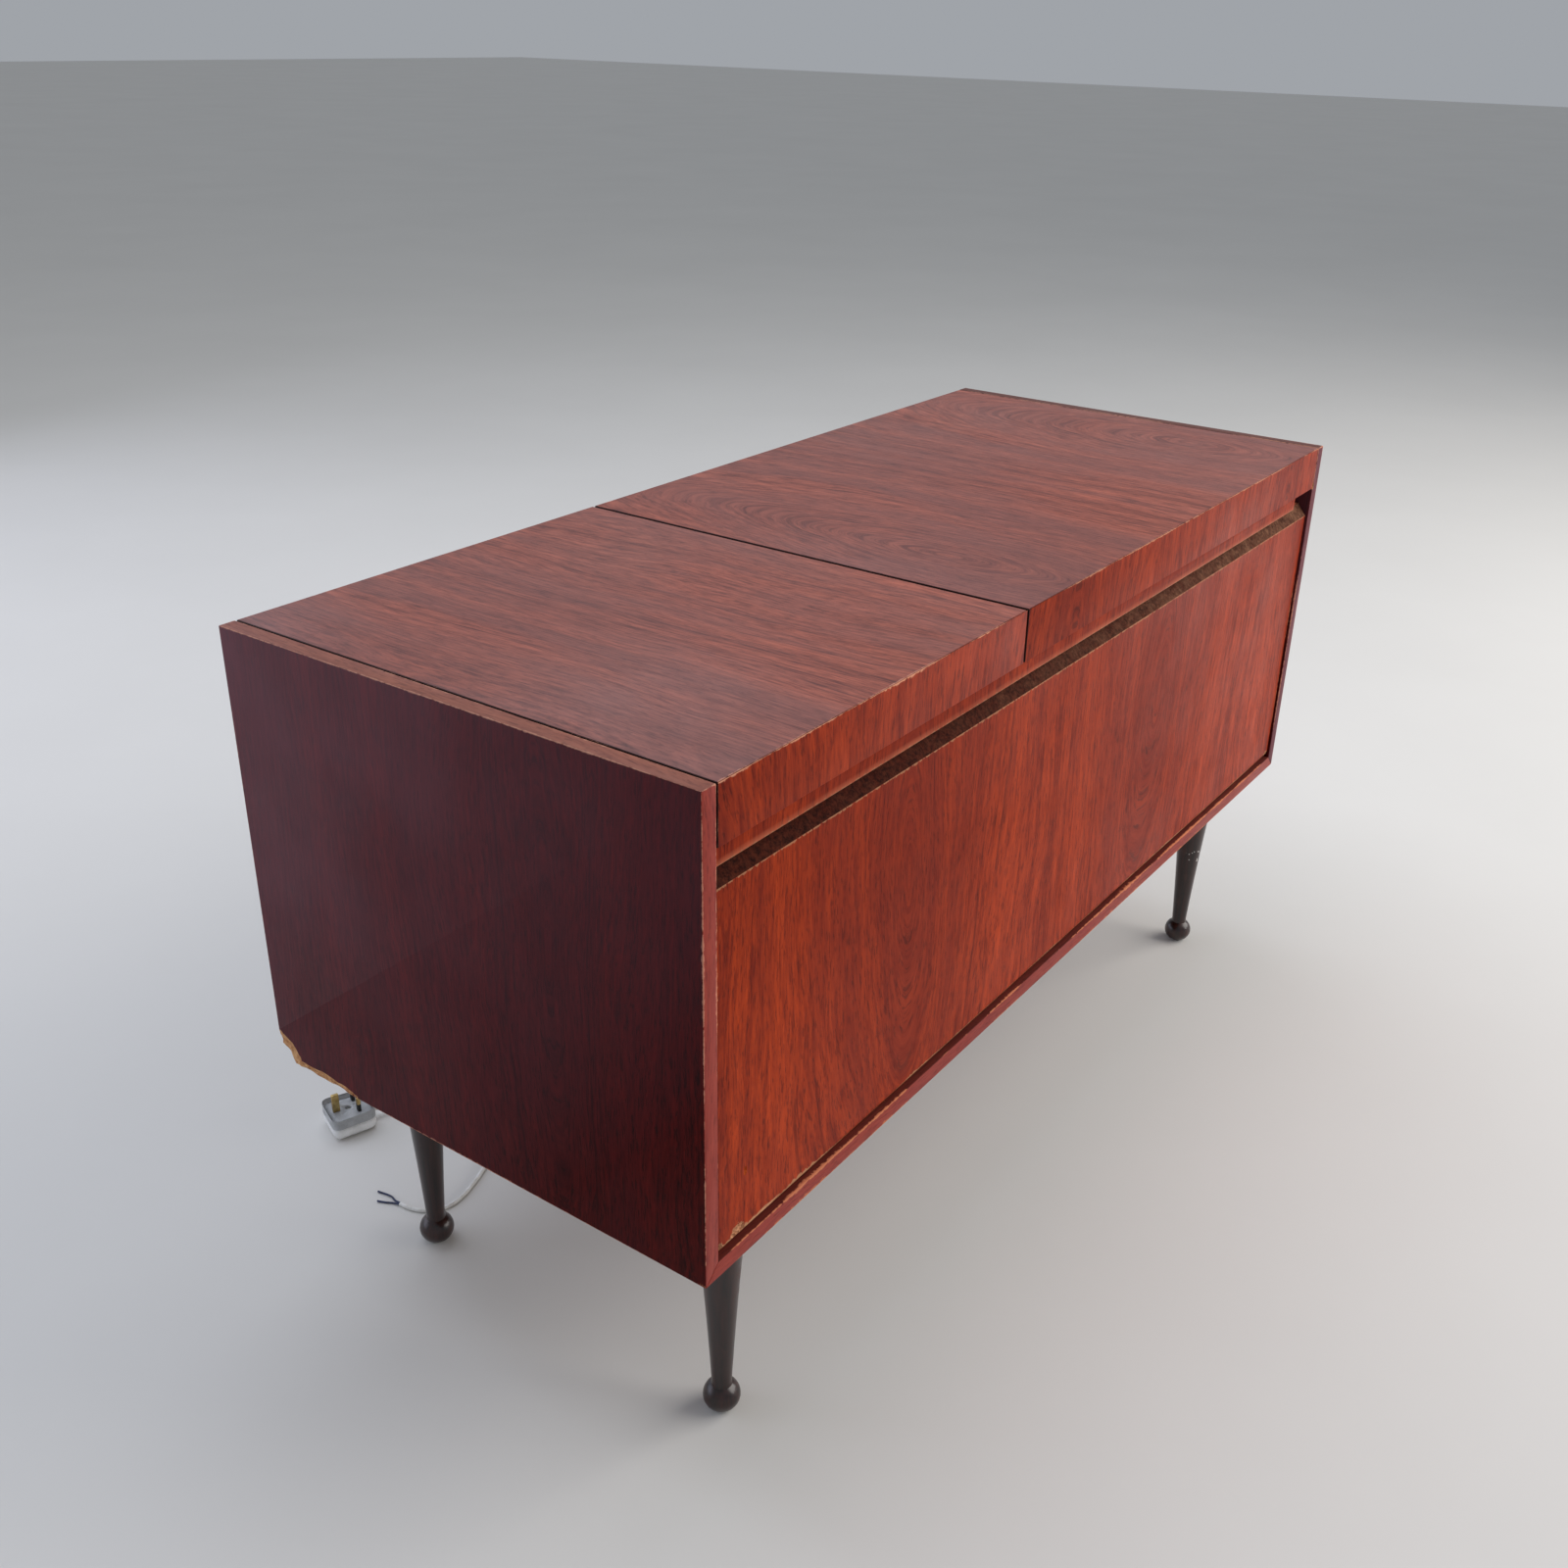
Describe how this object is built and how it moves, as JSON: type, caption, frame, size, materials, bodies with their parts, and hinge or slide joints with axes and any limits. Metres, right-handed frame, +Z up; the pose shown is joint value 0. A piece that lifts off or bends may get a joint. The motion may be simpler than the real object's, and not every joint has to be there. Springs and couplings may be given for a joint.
{
  "type": "media cabinet",
  "caption": "Long low veneered media cabinet on turned ball-foot legs, with two lift-up lids, a drop front flap with a routed finger groove, a record deck and trailing leads.",
  "frame": {"origin": "on the floor, under the middle of the case", "axes": "+X to the right facing the front, +Y towards the back, +Z up; the front flap faces -Y"},
  "size_m": [1.22, 0.6781, 0.68],
  "materials": {
    "teak_side": "dark teak veneer, vertical grain, worn satin lacquer",
    "teak_front": "red-brown teak veneer, vertical grain, satin lacquer",
    "teak_top": "faded teak veneer, grain front to back, satin lacquer",
    "inner_board": "plain sapele-faced inner board, matt",
    "hardboard": "brown hardboard, matt",
    "leg_stain": "near-black stained beech, satin",
    "zinc_steel": "zinc-plated steel",
    "brass": "aged brass",
    "brass_plate": "brass-plated steel, aged",
    "cream_enamel": "cream enamel",
    "rubber": "black rubber",
    "white_plastic": "white moulded plastic",
    "plug_base": "grey-white moulded base with brass pins",
    "white_cord": "white flexible sheath",
    "blue_core": "dark blue core insulation"
  },
  "bodies": {
    "case": {"side_panel_left": "teak_side", "side_panel_right": "teak_side", "bottom_board": "teak_front", "front_rail": "teak_front", "centre_divider": "inner_board", "rear_rail": "inner_board", "deck_board_left": "inner_board", "deck_board_right": "inner_board", "back_panel": "hardboard", "leg_front_left": "leg_stain", "leg_front_right": "leg_stain", "leg_back_left": "leg_stain", "leg_back_right": "leg_stain", "leg_plate_front_left": "zinc_steel", "leg_plate_front_right": "zinc_steel", "leg_plate_back_left": "zinc_steel", "leg_plate_back_right": "zinc_steel", "flap_pivot_pin_left": "zinc_steel", "flap_pivot_pin_right": "zinc_steel", "lid_left_hinge_a_rail_leaf": "brass", "lid_left_hinge_b_rail_leaf": "brass", "lid_right_hinge_a_rail_leaf": "brass", "lid_right_hinge_b_rail_leaf": "brass", "arm_pillar": "cream_enamel", "mains_gland": "rubber", "flex_gland": "rubber", "plug_cover": "white_plastic", "flap_catch": "white_plastic", "plug_base": "plug_base", "mains_lead_drop": "white_cord", "mains_coil": "white_cord", "mains_lead_tail": "white_cord", "thin_flex": "white_cord", "flex_core_a": "blue_core", "flex_core_b": "blue_core"},
    "lid_left": {"lid_left": "teak_top", "lid_left_drop": "teak_front", "lid_left_hinge_a_lid_leaf": "brass", "lid_left_hinge_b_lid_leaf": "brass", "lid_left_stay_bracket": "brass_plate"},
    "lid_right": {"lid_right": "teak_top", "lid_right_drop": "teak_front", "lid_right_hinge_a_lid_leaf": "brass", "lid_right_hinge_b_lid_leaf": "brass", "lid_right_stay_bracket": "brass_plate"},
    "flap": {"front_flap": "teak_front", "flap_strike": "zinc_steel", "flap_left_stay_bracket": "brass_plate", "flap_right_stay_bracket": "brass_plate"},
    "platter": {"platter": "cream_enamel", "platter_mat": "rubber"},
    "pickup_arm": {"pickup_arm": "cream_enamel"},
    "lid_left_stay_bar": {"lid_left_stay_bar": "brass_plate"},
    "lid_left_stay_guide": {"lid_left_stay_guide": "brass_plate"},
    "lid_right_stay_bar": {"lid_right_stay_bar": "brass_plate"},
    "lid_right_stay_guide": {"lid_right_stay_guide": "brass_plate"},
    "flap_left_stay_bar": {"flap_left_stay_bar": "brass_plate"},
    "flap_left_stay_guide": {"flap_left_stay_guide": "brass_plate"},
    "flap_right_stay_bar": {"flap_right_stay_bar": "brass_plate"},
    "flap_right_stay_guide": {"flap_right_stay_guide": "brass_plate"}
  },
  "joints": [
    {"name": "lid_left_lift", "type": "hinge", "parent": "case", "child": "lid_left", "pos_m": [0, 0.2495, 0.6606], "axis": [-1, 0, 0], "range_deg": [0, 75]},
    {"name": "lid_right_lift", "type": "hinge", "parent": "case", "child": "lid_right", "pos_m": [0, 0.2495, 0.6606], "axis": [-1, 0, 0], "range_deg": [0, 75]},
    {"name": "flap_drop", "type": "hinge", "parent": "case", "child": "flap", "pos_m": [0, -0.243, 0.2735], "axis": [1, 0, 0], "range_deg": [0, 90]},
    {"name": "lid_left_stay_bar_turn", "type": "hinge", "parent": "lid_left", "child": "lid_left_stay_bar", "pos_m": [-0.5885, 0.19008, 0.65225], "axis": [-1, 0, 0], "range_deg": [-37.5, 0]},
    {"name": "lid_left_stay_guide_turn", "type": "hinge", "parent": "case", "child": "lid_left_stay_guide", "pos_m": [-0.5885, 0.19918, 0.62792], "axis": [-1, 0, 0], "range_deg": [0, 37.5]},
    {"name": "flap_left_stay_bar_turn", "type": "hinge", "parent": "flap", "child": "flap_left_stay_bar", "pos_m": [-0.5885, -0.22732, 0.42268], "axis": [1, 0, 0], "range_deg": [-45, 0]},
    {"name": "flap_left_stay_guide_turn", "type": "hinge", "parent": "case", "child": "flap_left_stay_guide", "pos_m": [-0.5885, -0.17724, 0.40832], "axis": [1, 0, 0], "range_deg": [0, 45]},
    {"name": "lid_right_stay_bar_turn", "type": "hinge", "parent": "lid_right", "child": "lid_right_stay_bar", "pos_m": [0.5885, 0.19008, 0.65225], "axis": [-1, 0, 0], "range_deg": [-37.5, 0]},
    {"name": "lid_right_stay_guide_turn", "type": "hinge", "parent": "case", "child": "lid_right_stay_guide", "pos_m": [0.5885, 0.19918, 0.62792], "axis": [-1, 0, 0], "range_deg": [0, 37.5]},
    {"name": "flap_right_stay_bar_turn", "type": "hinge", "parent": "flap", "child": "flap_right_stay_bar", "pos_m": [0.5885, -0.22732, 0.42268], "axis": [1, 0, 0], "range_deg": [-45, 0]},
    {"name": "flap_right_stay_guide_turn", "type": "hinge", "parent": "case", "child": "flap_right_stay_guide", "pos_m": [0.5885, -0.17724, 0.40832], "axis": [1, 0, 0], "range_deg": [0, 45]},
    {"name": "platter_spin", "type": "hinge", "parent": "case", "child": "platter", "pos_m": [-0.4, -0.018, 0], "axis": [0, 0, 1], "continuous": true},
    {"name": "pickup_arm_swing", "type": "hinge", "parent": "case", "child": "pickup_arm", "pos_m": [-0.228, 0.1, 0], "axis": [0, 0, -1], "range_deg": [0, 38]}
  ],
  "couplings": [
    {"joint": "lid_left_stay_bar_turn", "follows": "lid_left_lift", "ratio": -0.5},
    {"joint": "lid_left_stay_guide_turn", "follows": "lid_left_lift", "ratio": 0.5},
    {"joint": "flap_left_stay_bar_turn", "follows": "flap_drop", "ratio": -0.5},
    {"joint": "flap_left_stay_guide_turn", "follows": "flap_drop", "ratio": 0.5},
    {"joint": "lid_right_stay_bar_turn", "follows": "lid_right_lift", "ratio": -0.5},
    {"joint": "lid_right_stay_guide_turn", "follows": "lid_right_lift", "ratio": 0.5},
    {"joint": "flap_right_stay_bar_turn", "follows": "flap_drop", "ratio": -0.5},
    {"joint": "flap_right_stay_guide_turn", "follows": "flap_drop", "ratio": 0.5}
  ]
}
